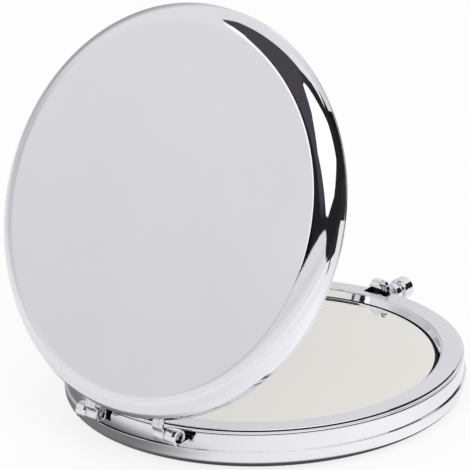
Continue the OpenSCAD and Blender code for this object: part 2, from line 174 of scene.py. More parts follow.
# Hook: a plate with its inner face at HOOK_Y, a nose over the lid's ring, a boss and a nib for the spring
HOOK_Y = KNOB_FROM + RIVET_H
HOOK_T = 0.5 * MM
HOOK_EDGE = 0.06 * MM
HOOK_ROUND = 0.12 * MM
HOOK_UNDERCUT, HOOK_UNDERCUT_DROP = 0.24 * MM, 0.1 * MM
HOOK_LEAN = 0.3 * MM
NOSE_W, NOSE_GAP = 0.5 * MM, 0.1 * MM
NOSE_R = (HOOK_T + NOSE_W - HOOK_LEAN) / 2
NOSE_Z = LID_Z + RING_T + NOSE_GAP
SHOULDER_RISE = 1.3 * MM
SHOULDER_Z = BASE_H + SHOULDER_RISE
HOOK_HEAD_HALF_W, HOOK_HEAD_CORNER = 1.75 * MM, 1.2 * MM
HOOK_TAIL_HALF_W = 1.5 * MM
BOSS_R, BOSS_INSET = 1 * MM, 0.1 * MM
SLOT_GAP, SLOT_BACK_GAP, SLOT_CORNER = 0.15 * MM, 0.1 * MM, 0.3 * MM
SLOT_RECESS = 0.3 * MM

# Spring, and the nib that it sits round
SPRING_WIRE = 0.3 * MM
SPRING_TURNS = 4
SPRING_SIDES, SPRING_STEPS = 10, 40
NIB_GAP = 0.15 * MM
NIB_R = SPRING_OUT_R - SPRING_WIRE - NIB_GAP
NIB_L, NIB_ROUND, NIB_OUT = 0.6 * MM, 0.1 * MM, 0.4 * MM

# Overrun of a cut, and the fineness of the meshes
OVER = 1 * MM
ROUND_SEGMENTS = 360
KNOB_SEGMENTS = 144
SMALL_SEGMENTS = 96
EDGE_STEPS = 28
ROLL_STEPS = 60
STEM_STEPS = 24
NOSE_STEPS = 20
TAB_STEPS = 12
MOUTH_STEPS = 10
FILLET_STEPS = 5
FILLET_CHORD = 0.1 * MM
BEVEL_SEGMENTS = 3
SUPPORT = 0.08 * MM
LONG_STRETCH = 4 * SUPPORT
MERGE = 1e-8
SHARP_ANGLE = math.radians(32)

# Colours
CHROME = (0.8, 0.79, 0.832)
STEEL = (0.5, 0.495, 0.49)
# Painted shade for the corner over the ledge
LEDGE_PAINTED_SHADE = (0.03, 0.03, 0.034)
MIRROR_TONES = (0.926, 0.9, 0.858), (0.938, 0.912, 0.87)
GROUND_TONES = (0.86, 0.88, 0.87), (0.93, 0.94, 0.93)
PAINT_TONES = (0.012, 0.013, 0.014), (0.03, 0.031, 0.033)
# Painted shade in the narrow grooves of the rings' rims
SEAM_SHADE_TONES = (0.01, 0.01, 0.012), (0.03, 0.03, 0.034)
BOARD_TONES = (0.035, 0.035, 0.04), (0.075, 0.075, 0.085)
FLOOR_TONES = (0.89, 0.89, 0.89), (0.91, 0.91, 0.91)
WHITE = (1, 1, 1, 1)

# Sides on which shade is painted in the corner over the ledge, as (azimuth, half width), and the fade's
# width, in degrees
LEDGE_SHADE_SIDES = ((-3, 14), (104, 8))
LEDGE_SHADE_FADE = 5

# Camera, in degrees, metres and millimetres of lens
CAMERA_AZIMUTH, CAMERA_ELEVATION, CAMERA_ROLL = 39.672, 20.511, -1.91
CAMERA_TARGET = Vector((-2.987, -3.451, 29.545)) * MM
CAMERA_DISTANCE = 567.08 * MM
CAMERA_LENS, CAMERA_SENSOR = 251.07, 36
CAMERA_NEAR, CAMERA_FAR = 0.01, 100

# Studio cards: (azimuth, elevation) corners, distance and strength. Azimuth is 0 along -Y and 90 along +X.
# The flag's grey changes over spans of height and of X, in metres.
FLAG_CORNERS = [(-35.5, 17.5), (-35.5, 24), (-38, 31), (-43, 41), (-60, 51), (-75, 62), (-100, 78),
                (180, 80), (150, 74), (152, 55), (162, 36), (172, 22), (173.3, 11), (172.8, -1),
                (146, -1), (110, -1), (90, -1), (74, 1), (60, 10), (48, 20), (40, 24), (30, 25.5),
                (0, 23.5), (-17, 20.8), (-25, 19.3)]
FLAG_DISTANCE = 8.0
FLAG_TINT = (1, 0.95, 1.08, 1)
FLAG_TOP_SPAN, FLAG_TOP_LEVELS = (3.75, 4.2), (0.018, 0.075)
FLAG_FOOT_SPAN, FLAG_FOOT_SHARES = (2.7, 3.1), (0.1, 1.0)
FLAG_RIGHT_SPAN, FLAG_RIGHT_LEVEL = (0.0, 3.0), 0.02
CARDS = {
    "softbox": ([(-8, 38), (15, 35), (30, 30), (42, 28.5), (75, 29.5), (118, 30), (126, 45), (112, 62),
                 (85, 77), (50, 79), (20, 74), (4, 55)], 7.0, 1.3),
    "softbox_back": ([(152, 34), (155, 55), (153, 72), (178, 72), (-178, 50), (178, 30), (165, 28)],
                     7.0, 0.98),
    "edge_light": ([(-34.3, 18.1), (-34, 21), (-34.4, 25), (-37.2, 32), (-42, 41), (-48, 45.4),
                    (-50.5, 44.6), (-45, 40.5), (-40.2, 32), (-37.6, 25), (-37, 21), (-36.9, 18.1)],
                   7.0, 1.3),
    "crease_shade": ([(-36.7, 12), (-31.5, 11.2), (-31.5, 17.4), (-36.4, 17.8)], 6.5, 0.69)}
CARD_STEPS = 10

# Dark sheet on the floor and its narrow strip, as (x, y) corners in metres
SHEET_HEIGHT, SHEET_STRENGTH = 0.3 * MM, 0.03
SHEET_CORNERS = [(0.783, -0.158), (0.11, 0.059), (0.186, 0.144), (0.12, 0.215), (2.1, 7.7), (6, 5.3),
                 (7.8, -1.5)]
STRIP_CORNERS = [(0.209, 0.015), (0.2, 0.045), (0.1246, 0.0168), (0.129, 0.0056)]

# Painted shadow on the floor, and painted light to the right, that reflections show: spans outwards from the
# base's foot with their levels, and sides as (azimuth, span of cosines)
SHADE_R, SHADE_HEIGHT = 130 * MM, 0.2 * MM
SHADE_FADE = (75 * MM, 128 * MM)
FOOT_INSET = 0.7 * MM
FOOT_R = LEDGE_R - FOOT_INSET
CLOSE_SIDE, CLOSE_REACH = (10, (0.2, 0.75)), (0.05 * MM, 1.4 * MM)
FAINT_SIDE, FAINT_SPAN, FAINT_LEVEL = (-10, (-0.2, 0.7)), (20 * MM, 90 * MM), 0.11
WIDE_SIDE, WIDE_SPAN, WIDE_LEVEL = (-28, (0.6, 0.95)), (6.5 * MM, 12 * MM), 0.22
DARK_SIDE, DARK_LEVELS = (-60, (0.2, 0.85)), (0.08, 0.18)
PAINTED_LIGHT_SIDE, PAINTED_LIGHT_LEVELS = (62, (0.6, 1.0)), (0.99, 1.12)

# White studio: (elevation, level) stops, and darker spots as (azimuth, elevation, radius, level) in degrees
SKY_STOPS = [(-1, 0.99), (8, 0.885), (13, 0.795), (20.5, 0.865), (32, 0.9)]
SKY_SPOTS = ((-112, 8, 38, 0.5), (-66, 2, 24, 0.74))

# Floor, and the share of plain white that the camera sees in it
FLOOR_R, FLOOR_SEGMENTS = 12, 96
FLOOR_WHITE = 0.82

# Span that most of a noise's values lie in, and the whole span
NOISE_SPAN = (0.3, 0.7)
UNIT_SPAN = (0.0, 1.0)

# Turns of a mesh made along Z: a section drawn out along X, a piece laid along Y, and outlines in X and Z
# drawn out towards the latch and towards the hinge
UNMOVED = Matrix.Identity(4)
ALONG_X = Matrix(((0, 0, 1), (1, 0, 0), (0, 1, 0))).to_4x4()
ALONG_Y = Matrix(((-1, 0, 0), (0, 0, 1), (0, 1, 0))).to_4x4()
TO_LATCH = Matrix(((1, 0, 0), (0, 0, 1), (0, 1, 0))).to_4x4()
TO_HINGE = Matrix(((1, 0, 0), (0, 0, -1), (0, 1, 0))).to_4x4()
SIDES = (("right", UNMOVED), ("left", Matrix.Scale(-1, 4, (1, 0, 0))))

# Lid turned open, and the places in base and lid of what is made with depth from the ring's face along +Z
OPENED = (Matrix.Translation(PIN) @ Matrix.Rotation(math.radians(OPEN_ANGLE), 4, "X")
          @ Matrix.Translation(-PIN))
IN_BASE = Matrix.Translation((0, 0, BASE_H)) @ Matrix.Scale(-1, 4, (0, 0, 1))
IN_LID = OPENED @ Matrix.Translation((0, 0, LID_Z))


# Directions and outlines

def direction(azimuth, elevation=0):
    """Unit vector at an azimuth, 0 along -Y and 90 along +X, and an elevation, in degrees."""
    a, e = math.radians(azimuth), math.radians(elevation)
    return Vector((math.sin(a) * math.cos(e), -math.cos(a) * math.cos(e), math.sin(e)))


def arc(centre, w, h, start, end, steps=EDGE_STEPS):
    """Points on an ellipse of half axes w and h round a centre, from one angle to another, ends left out."""
    angles = [math.radians(start + (end - start) * i / steps) for i in range(1, steps)]
    return [(centre[0] + w * math.cos(a), centre[1] + h * math.sin(a)) for a in angles]


def smoothed(outline, closed=True):
    """Outline with its corners rounded. A corner is (x, y, radius), a plain point is (x, y)."""
    out = []
    count = len(outline)
    for i, point in enumerate(outline):
        here = Vector(point[:2])
        radius = point[2] if len(point) > 2 else 0
        if not radius or (not closed and i in (0, count - 1)):
            out.append(tuple(here))
            continue
        before = (Vector(outline[i - 1][:2]) - here).normalized()
        after = (Vector(outline[(i + 1) % count][:2]) - here).normalized()
        half = before.angle(after) / 2
        reach = radius / math.tan(half)
        centre = here + (before + after).normalized() * radius / math.sin(half)
        start = here + before * reach - centre
        turn = (math.pi - 2 * half) * (1 if start.cross(here + after * reach - centre) > 0 else -1)
        steps = FILLET_STEPS + round(radius / FILLET_CHORD)
        for k in range(steps + 1):
            a = turn * k / steps
            out.append((centre.x + start.x * math.cos(a) - start.y * math.sin(a),
                        centre.y + start.x * math.sin(a) + start.y * math.cos(a)))
    return out


def supported(points, closed):
    """Outline with a point close to each end of every long stretch, so that flat faces shade flat."""
    out = []
    count = len(points)
    for i, here in enumerate(points):
        out.append(here)
        if not closed and i == count - 1:
            break
        ahead = Vector(points[(i + 1) % count]) - Vector(here)
        if ahead.length > LONG_STRETCH:
            step = ahead.normalized() * SUPPORT
            out.append((here[0] + step.x, here[1] + step.y))
            out.append((here[0] + ahead.x - step.x, here[1] + ahead.y - step.y))
    return out


# Meshes

def shade(obj):
    """Smooth faces, with edges over the sharp angle kept hard."""
    obj.data.polygons.foreach_set("use_smooth", [True] * len(obj.data.polygons))
    obj.data.set_sharp_from_angle(angle=SHARP_ANGLE)


def settle(obj, transform):
    """Moves the mesh of an object, and turns its faces back where that mirrors it."""
    obj.data.transform(transform)
    if transform.determinant() < 0:
        obj.data.flip_normals()


def finished(bm, name, transform=UNMOVED):
    """Object from a bmesh, with smooth faces and its hard edges kept."""
    bmesh.ops.remove_doubles(bm, verts=bm.verts, dist=MERGE)
    bmesh.ops.recalc_face_normals(bm, faces=bm.faces)
    mesh = bpy.data.meshes.new(name)
    bm.to_mesh(mesh)
    bm.free()
    obj = bpy.data.objects.new(name, mesh)
    bpy.context.scene.collection.objects.link(obj)
    settle(obj, transform)
    shade(obj)
    return obj


def revolved(name, outline, segments=ROUND_SEGMENTS, transform=UNMOVED):
    """Solid turned round the Z axis from (radius, height) points: a ring, unless it starts on the axis."""
    ring = outline[0][0] > 0
    points = supported(smoothed(outline, closed=ring), closed=ring)
    bm = bmesh.new()
    loops = []
    for radius, height in points:
        if radius <= 0:
            loops.append([bm.verts.new((0, 0, height))])
            continue
        loops.append([bm.verts.new((radius * math.cos(a), radius * math.sin(a), height))
                      for a in (2 * math.pi * k / segments for k in range(segments))])
    for i in range(len(loops) if ring else len(loops) - 1):
        low, high = loops[i], loops[(i + 1) % len(loops)]
        for k in range(segments):
            corners = [low[k % len(low)], low[(k + 1) % len(low)],
                       high[(k + 1) % len(high)], high[k % len(high)]]
            bm.faces.new(list(dict.fromkeys(corners)))
    return finished(bm, name, transform)


def extruded(name, outline, start, end, rim=0.0, transform=UNMOVED):
    """Prism of an outline along Z, its end edges rounded by rim."""
    points = smoothed(outline)
    bm = bmesh.new()
    low = [bm.verts.new((x, y, start)) for x, y in points]
    high = [bm.verts.new((x, y, end)) for x, y in points]
    caps = [bm.faces.new(low), bm.faces.new(high)]
    for k in range(len(points)):
        after = (k + 1) % len(points)
        bm.faces.new([low[k], low[after], high[after], high[k]])
    if rim:
        bmesh.ops.recalc_face_normals(bm, faces=bm.faces)
        edges = list({edge for cap in caps for edge in cap.edges})
        bmesh.ops.bevel(bm, geom=edges, offset=rim, segments=BEVEL_SEGMENTS, profile=0.5, affect="EDGES")
    return finished(bm, name, transform)


def rod(name, radius, length, y, z, start_round=0.0, end_round=0.0):
    """Round rod along +Y from a place in the middle plane."""
    outline = [(0, 0), (radius, 0, start_round), (radius, length, end_round), (0, length)]
    return revolved(name, outline, SMALL_SEGMENTS, Matrix.Translation((0, y, z)) @ ALONG_Y)


def applied(obj):
    """Object with its modifiers made part of its mesh."""
    bpy.context.view_layer.update()
    graph = bpy.context.evaluated_depsgraph_get()
    mesh = bpy.data.meshes.new_from_object(obj.evaluated_get(graph))
    obj.modifiers.clear()
    obj.data = mesh
    mesh.name = obj.name
    shade(obj)
    return obj


def combined(obj, others, operation):
    """Cuts the others from an object, joins them to it or keeps what they share, and removes them."""
    for other in others:
        modifier = obj.modifiers.new(operation, "BOOLEAN")
        modifier.operation = operation
        modifier.solver = "EXACT"
        modifier.object = other
    applied(obj)
    for other in others:
        bpy.data.objects.remove(other, do_unlink=True)
    return obj


def rounded(obj, width):
    """Rounds the hard edges of an object."""
    modifier = obj.modifiers.new("edges", "BEVEL")
    modifier.width = width
    modifier.segments = BEVEL_SEGMENTS
    modifier.limit_method = "ANGLE"
    modifier.angle_limit = SHARP_ANGLE
    return applied(obj)


def dressed(obj, node, body, material):
    """Puts a piece on its body in place of a CAD node, with its finish."""
    obj.data.materials.clear()
    obj.data.materials.append(material)
    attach(obj, body)
    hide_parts(node)
    return obj


# Materials

class Nodes:
    """Short ways to add and join the nodes of one material or of the world."""

    def __init__(self, owner):
        owner.use_nodes = True
        self.tree = owner.node_tree
        self.tree.nodes.clear()

    def add(self, kind, **settings):
        """New node, with values for its inputs or settings."""
        node = self.tree.nodes.new(kind)
        for key, value in settings.items():
            if key in node.inputs:
                node.inputs[key].default_value = value
            else:
                setattr(node, key, value)
        return node

    def join(self, output, target):
        """Links an output to an input."""
        self.tree.links.new(output, target)

    def put(self, value, target):
        """Joins a socket to an input, or sets the input to a number or a colour."""
        if isinstance(value, bpy.types.NodeSocket):
            self.join(value, target)
        else:
            target.default_value = (*value, 1) if isinstance(value, tuple) else value

    def place(self):
        """Place on the object, in metres."""
        return self.add("ShaderNodeTexCoord").outputs["Object"]

    def math(self, operation, first, second=0.0, third=0.0, clamp=False):
        """Result of a sum, each of its terms a socket or a number."""
        node = self.add("ShaderNodeMath", operation=operation, use_clamp=clamp)
        for k, value in enumerate((first, second, third)):
            self.put(value, node.inputs[k])
        return node.outputs[0]

    def range(self, value, source, target, smooth=False):
        """Value moved from one span to another, and held at its ends."""
        node = self.add("ShaderNodeMapRange", interpolation_type="SMOOTHSTEP" if smooth else "LINEAR")
        self.join(value, node.inputs["Value"])
        for key, number in zip(("From Min", "From Max", "To Min", "To Max"), (*source, *target)):
            node.inputs[key].default_value = number
        return node.outputs[0]

    def noise(self, vector, scale, detail=2.0, roughness=0.5):
        """Noise over a vector, its scale in waves a metre."""
        node = self.add("ShaderNodeTexNoise", Scale=scale, Detail=detail, Roughness=roughness)
        self.join(vector, node.inputs["Vector"])
        return node.outputs["Fac"]

    def mix(self, factor, first, second):
        """Colour between two, each a socket or a colour, by a factor."""
        node = self.add("ShaderNodeMix", data_type="RGBA")
        self.join(factor, node.inputs["Factor"])
        self.put(first, node.inputs["A"])
        self.put(second, node.inputs["B"])
        return next(out for out in node.outputs if out.type == "RGBA")

    def vector(self, operation, first):
        """Node that works on a vector."""
        node = self.add("ShaderNodeVectorMath", operation=operation)
        self.join(first, node.inputs[0])
        return node

    def facing(self, unit, azimuth, elevation=0):
        """Cosine between a unit vector and a direction in degrees."""
        node = self.vector("DOT_PRODUCT", unit)
        node.inputs[1].default_value = direction(azimuth, elevation)
        return node.outputs["Value"]

    def bump(self, height, strength, distance, shader):
        """Tilts a shader's normal by a height."""
        node = self.add("ShaderNodeBump", Strength=strength, Distance=distance)
        self.join(height, node.inputs["Height"])
        self.join(node.outputs["Normal"], shader.inputs["Normal"])

    def blend(self, factor, first, second):
        """Shader between two shaders, by a factor."""
        node = self.add("ShaderNodeMixShader")
        self.join(factor, node.inputs["Fac"])
        self.join(first.outputs[0], node.inputs[1])
        self.join(second.outputs[0], node.inputs[2])
        return node

    def surface(self, shader, kind="ShaderNodeOutputMaterial"):
        """Ends the tree with a shader as its surface."""
        self.join(shader.outputs[0], self.add(kind).inputs["Surface"])


def new_material(name):
    """Empty material and its nodes."""
    material = bpy.data.materials.new(name)
    return material, Nodes(material)


def polished(name, colour, shift=0.012, roughness=(0.02, 0.055), wave=0.05, grain=0.0, shaded_sides=()):
    """Metal plating: smudges in its gloss, hairline scratches, and the faint wave of pressed sheet.

    It takes painted shade towards its shaded sides, if it has them.
    """
    material, n = new_material(name)
    place = n.place()
    smudge = n.noise(place, scale=55, detail=4, roughness=0.6)
    fine = n.noise(place, scale=900, detail=3, roughness=0.6)
    stretch = n.add("ShaderNodeMapping", Scale=(1, 1, 14), Rotation=(0.4, 0.9, 0.2))
    n.join(place, stretch.inputs["Vector"])
    hairline = n.noise(stretch.outputs["Vector"], scale=700, detail=2, roughness=0.7)
    shader = n.add("ShaderNodeBsdfPrincipled", Metallic=1.0)
    darker = tuple(c - shift for c in colour)
    lighter = tuple(c + shift for c in colour)
    plating = n.mix(n.range(smudge, NOISE_SPAN, UNIT_SPAN), darker, lighter)
    # Painted shade: the plating darkens towards the shaded sides
    if shaded_sides:
        unit = n.vector("NORMALIZE", place).outputs["Vector"]
        sides = [n.range(n.facing(unit, azimuth),
                         (math.cos(math.radians(half + LEDGE_SHADE_FADE)), math.cos(math.radians(half))),
                         UNIT_SPAN, smooth=True) for azimuth, half in shaded_sides]
        plating = n.mix(n.math("MAXIMUM", *sides), plating, LEDGE_PAINTED_SHADE)
    n.join(plating, shader.inputs["Base Color"])
    marks = n.math("ADD", n.math("MULTIPLY", smudge, 0.7), n.math("MULTIPLY", hairline, 0.3))
    n.join(n.range(marks, (0.35, 0.7), roughness), shader.inputs["Roughness"])
    height = n.math("ADD", n.noise(place, scale=38, detail=1), n.math("MULTIPLY", fine, grain))
    n.bump(height, wave, 0.4 * MM, shader)
    n.surface(shader)
    return material


def mirror_material():
    """Silvered glass, with a trace of haze in its colour and of dust in its gloss."""
    material, n = new_material("mirror_glass")
    place = n.place()
    dust = n.noise(place, scale=420, detail=5, roughness=0.7)
    haze = n.noise(place, scale=30)
    shader = n.add("ShaderNodeBsdfPrincipled", Metallic=1.0)
    n.join(n.mix(n.range(haze, NOISE_SPAN, UNIT_SPAN), *MIRROR_TONES), shader.inputs["Base Color"])
    n.join(n.range(dust, (0.45, 0.8), (0.004, 0.03)), shader.inputs["Roughness"])
    n.surface(shader)
    return material


def edge_material(name, tones):
    """Matt edge of the glass, or painted shade on the floor of a seam: fine grit between two colours."""
    material, n = new_material(name)
    grit = n.noise(n.place(), scale=2600, detail=3, roughness=0.6)
    shader = n.add("ShaderNodeBsdfPrincipled", IOR=1.5)
    n.join(n.mix(grit, *tones), shader.inputs["Base Color"])
    n.join(n.range(grit, NOISE_SPAN, (0.35, 0.6)), shader.inputs["Roughness"])
    n.bump(grit, 0.2, 0.02 * MM, shader)
    n.surface(shader)
    return material


def board_material():
    """Dark pressed board with short fibres."""
    material, n = new_material("backing_board")
    place = n.place()
    fibre = n.noise(place, scale=1500, detail=6, roughness=0.7)
    patch = n.noise(place, scale=120, detail=3)
    shader = n.add("ShaderNodeBsdfPrincipled")
    mottled = n.math("ADD", n.math("MULTIPLY", fibre, 0.6), n.math("MULTIPLY", patch, 0.4))
    n.join(n.mix(n.range(mottled, NOISE_SPAN, UNIT_SPAN), *BOARD_TONES), shader.inputs["Base Color"])
    n.join(n.range(fibre, NOISE_SPAN, (0.75, 0.95)), shader.inputs["Roughness"])
    n.bump(fibre, 0.5, 0.05 * MM, shader)
    n.surface(shader)
    return material


case_chrome = polished("case_chrome", CHROME)
# Chrome with painted shade in the corner over the ledge
ledge_shaded_chrome = polished("ledge_shaded_chrome", CHROME, shaded_sides=LEDGE_SHADE_SIDES)
ring_chrome = polished("ring_chrome", CHROME)
hinge_chrome = polished("hinge_chrome", CHROME, roughness=(0.03, 0.08), grain=0.02)
latch_chrome = polished("latch_chrome", CHROME, roughness=(0.03, 0.08), grain=0.02)
pin_steel = polished("pin_steel", STEEL, shift=0.03, roughness=(0.16, 0.32), wave=0.15, grain=0.2)
mirror_glass = mirror_material()
ground_edge = edge_material("ground_edge", GROUND_TONES)
painted_edge = edge_material("painted_edge", PAINT_TONES)
seam_shade = edge_material("seam_shade", SEAM_SHADE_TONES)
backing_board = board_material()


# Case

def shell_outline(flat_r, round_w, round_h, outer, opening):
    """Section of a pressed shell from its flat up, out to the rim and back along the inside."""
    in_w = WALL_IN_R - flat_r
    return ([(0, 0), (flat_r, 0)]
            + arc((flat_r, round_h), round_w, round_h, -90, 0)
            + outer
            + [(CASE_R, opening, SEAM_ROUND), (WALL_IN_R, opening, RIM_INNER_ROUND), (WALL_IN_R, round_h)]
            + arc((flat_r, round_h), in_w, round_h - SHELL_T, 0, -90)
            + [(flat_r, SHELL_T), (0, SHELL_T)])


def notch_cutter(side_sign):
    """Cutter of the notch for one hinge barrel, with depth from the ring's face along +Z."""
    mouth = NOTCH_MOUTH_R
    outer = NOTCH_HALF_W + mouth
    depth = BASE_H - PIN.z + KNUCKLE_R + NOTCH_GAP
    top = FLANGE_H - OVER
    left = [(-outer, FLANGE_H)] + arc((-outer, FLANGE_H + mouth), mouth, mouth, -90, 0, MOUTH_STEPS)
    right = arc((outer, FLANGE_H + mouth), mouth, mouth, 180, 270, MOUTH_STEPS) + [(outer, FLANGE_H)]
    outline = ([(-outer, top)] + left
               + [(-NOTCH_HALF_W, FLANGE_H + mouth), (-NOTCH_HALF_W, depth, NOTCH_CORNER),
                  (NOTCH_HALF_W, depth, NOTCH_CORNER), (NOTCH_HALF_W, FLANGE_H + mouth)]
               + right + [(outer, top)])
    start = CASE_R - RING_FACE_W
    place = Matrix.Translation((side_sign * BARREL_MIDDLE, 0, 0)) @ TO_HINGE
    return extruded("cutter", outline, start, start + CASE_R, transform=place)


def base_shell():
    """Pan with a rounded lower edge, a ledge on its wall, notches for the hinge and a slot for the stem."""
    outer = [(LEDGE_R, BASE_ROUND_H), (LEDGE_R, SHELF_Z - SHELF_FALL, SHELF_ROUND),
             (CASE_R, SHELF_Z, SHELF_CORNER)]
    outline = shell_outline(LEDGE_R - BASE_ROUND_W, BASE_ROUND_W, BASE_ROUND_H, outer, BASE_H - FLANGE_H)
    shell = revolved("base_shell_skin", outline)
    cutters = [notch_cutter(side_sign) for side_sign in (-1, 1)]
    for cutter in cutters:
        settle(cutter, IN_BASE)
    r = STEM_R + STEM_GAP
    stem_slot = ([(r, BASE_H), (-r, BASE_H), (-r, KNOB_Z)] + arc((0, KNOB_Z), r, r, 180, 360, STEM_STEPS)
                 + [(r, KNOB_Z)])
    cutters.append(extruded("cutter", stem_slot, KNOB_FROM, LEDGE_R + OVER, transform=TO_LATCH))
    combined(shell, cutters, "DIFFERENCE")
    dressed(shell, "base_shell", "base", case_chrome)
    paint_ledge_shade(shell)


def paint_ledge_shade(shell):
    """Gives the shelf's corner with the wall its own finish, with painted shade on its shaded sides."""
    shell.data.materials.append(ledge_shaded_chrome)
    for face in shell.data.polygons:
        spot = face.center
        in_corner = SHELF_Z - SHELF_CORNER < spot.z < SHELF_Z + SHELF_ROUND
        if in_corner and math.hypot(spot.x, spot.y) > CASE_R - SHELF_INSET:
            face.material_index = 1


def lid_shell():
    """Lid with a flat face, a wide rounded edge, and notches for the hinge."""
    round_h = LID_H - LID_SIDE_H
    outline = shell_outline(CASE_R - LID_ROUND_W, LID_ROUND_W, round_h, [(CASE_R, round_h)], LID_H - FLANGE_H)
    upright = Matrix.Translation((0, 0, LID_H)) @ Matrix.Scale(-1, 4, (0, 0, 1))
    shell = revolved("lid_shell_skin", outline, transform=upright)
    combined(shell, [notch_cutter(side_sign) for side_sign in (-1, 1)], "DIFFERENCE")
    settle(shell, IN_LID)
    dressed(shell, "lid_shell", "lid", case_chrome)


def ring_outline(seam_depth):
    """Section of a frame ring, from the rim's step round to the face."""
    lip_depth = BEVEL_DEPTH + LIP_EDGE
    step_r = CASE_R - RING_FACE_W
    bevel_r = step_r - STEP_W
    opening_r = bevel_r - BEVEL_W
    under_r = opening_r + LIP_SEAT + (lip_depth - RING_T) * BEVEL_W / BEVEL_DEPTH
    skirt_out_r = WALL_IN_R - SKIRT_GAP
    skirt_in_r = skirt_out_r - RING_T
    land_r = CASE_R - RIM_ROUND - RIM_LAND_W
    groove_to = RIM_STEP_H + RIM_GROOVE_H
    seam = FLANGE_H - SEAM_H
    return [(land_r - RIM_STEP_W, 0, RING_EDGE), (land_r, RIM_STEP_H, RING_EDGE / 2),
            (land_r - RIM_GROOVE_DEPTH, RIM_STEP_H), (land_r - RIM_GROOVE_DEPTH, groove_to),
            (land_r, groove_to), (CASE_R, groove_to + RIM_LAND_H, RIM_ROUND), (CASE_R, seam, SEAM_ROUND),
            (CASE_R - seam_depth, seam), (CASE_R - seam_depth, FLANGE_H),
            (skirt_out_r, FLANGE_H), (skirt_out_r, RING_H, RING_EDGE), (skirt_in_r, RING_H, RING_EDGE),
            (skirt_in_r, RING_T, RING_EDGE), (under_r, RING_T, RING_EDGE),
            (opening_r + LIP_SEAT, lip_depth, RING_EDGE), (opening_r, lip_depth, LIP_ROUND),
            (opening_r, BEVEL_DEPTH, LIP_ROUND), (bevel_r, STEP_DEPTH, RING_EDGE),
            (step_r, STEP_DEPTH, RING_EDGE), (step_r, 0, RING_EDGE)]


def box_outline(from_x, to_x, from_y, to_y, corner=0.0):
    """Rectangle with its corners rounded."""
    return [(from_x, from_y, corner), (to_x, from_y, corner), (to_x, to_y, corner), (from_x, to_y, corner)]


def frame_ring(name, place, seam_depth):
    """Frame ring with its face at zero and its depth along +Z, cut for hook and leaves, then placed."""
    ring = revolved(name, ring_outline(seam_depth))
    half = HOOK_HALF_W + SLOT_GAP
    recess = half + SLOT_RECESS
    slot_in = HOOK_Y - TRAVEL - SLOT_GAP
    slot_out = HOOK_Y + HOOK_T + SLOT_BACK_GAP
    slot = box_outline(-half, half, slot_in, slot_out, SLOT_CORNER)
    behind = box_outline(-recess, recess, slot_in, WALL_IN_R)
    cutters = [extruded("cutter", slot, -OVER, FLANGE_H + OVER),
               extruded("cutter", behind, RING_T, RING_H + OVER)]
    for side_sign in (-1, 1):
        middle = side_sign * BARREL_MIDDLE
        gap = box_outline(middle - NOTCH_HALF_W, middle + NOTCH_HALF_W, -CASE_R, RING_FACE_W - TAB_IN_R)
        cutters.append(extruded("cutter", gap, FLANGE_H, RING_H + OVER))
    combined(ring, cutters, "DIFFERENCE")
    settle(ring, place)
    return ring


def paint_seam_shade(ring, place):
    """Painted shade in the two narrow grooves of a ring's rim, as a dark finish."""
    ring.data.materials.append(seam_shade)
    grooves = [(CASE_R - RIM_ROUND - RIM_LAND_W, RIM_STEP_H, RIM_STEP_H + RIM_GROOVE_H),
               (CASE_R, FLANGE_H - SEAM_H, FLANGE_H + LIP_EDGE)]
    back = place.inverted()
    for face in ring.data.polygons:
        spot = back @ face.center
        reach = math.hypot(spot.x, spot.y)
        for radius, start, end in grooves:
            if radius - RING_T < reach < radius - GROOVE_REACH and start - GROOVE_REACH < spot.z < end:
                face.material_index = 1


def mirror(name, place):
    """Glass disc with bevelled edges, its depth along +Z from the ring's face."""
    front = BASE_H - GLASS_TOP
    back = front + GLASS_T
    return revolved(name, [(0, front), (GLASS_R - GLASS_GLOW, front), (GLASS_R - GLASS_BEVEL, front),
                           (GLASS_R, front + GLASS_BEVEL), (GLASS_R, back - GLASS_BEVEL),
                           (GLASS_R - GLASS_BEVEL, back), (0, back)], transform=place)


def glass_finishes(glass, front):
    """Ground finish on the glass's front edge and where it shows through, paint on its side and back."""
    glass.data.materials.append(ground_edge)
    glass.data.materials.append(painted_edge)
    middle = sum((Vector(corner) for corner in glass.bound_box), Vector()) / len(glass.bound_box)
    for face in glass.data.polygons:
        if face.normal.dot(front) < FRONT_COSINE:
            face.material_index = 2
        elif (face.center - middle).length > GLASS_R - GLASS_GLOW:
            face.material_index = 1


def framed_mirror(part, place, seam_depth):
    """Ring and glass of the base or the lid, with their finishes."""
    ring = frame_ring(f"{part}_ring_skin", place, seam_depth)
    dressed(ring, f"{part}_ring", part, ring_chrome)
    paint_seam_shade(ring, place)
    glass = mirror(f"{part}_glass", place)
    dressed(glass, f"{part}_mirror", part, mirror_glass)
    glass_finishes(glass, place.to_3x3() @ Vector((0, 0, -1)))


# Hinge

def slit_angle(radius):
    """Angle, in degrees, at which the roll's slit meets a circle round the pin."""
    return math.degrees(math.asin((BORE_R - ROLL_SLIT) / radius))


def base_leaf():
    """Section of the base's leaf round the pin: roll, slit, and strip along the bottom."""
    outer = arc((0, 0), KNUCKLE_R, KNUCKLE_R, 270, -slit_angle(KNUCKLE_R), ROLL_STEPS)
    inner = arc((0, 0), BORE_R, BORE_R, -slit_angle(BORE_R), 270, ROLL_STEPS)
    reach = -PIN.y - math.sqrt(TAB_IN_R ** 2 - OUTER_KNUCKLE ** 2)
    return [(0, -KNUCKLE_R)] + outer + inner + [(0, -BORE_R), (reach, -BORE_R), (reach, -KNUCKLE_R)]


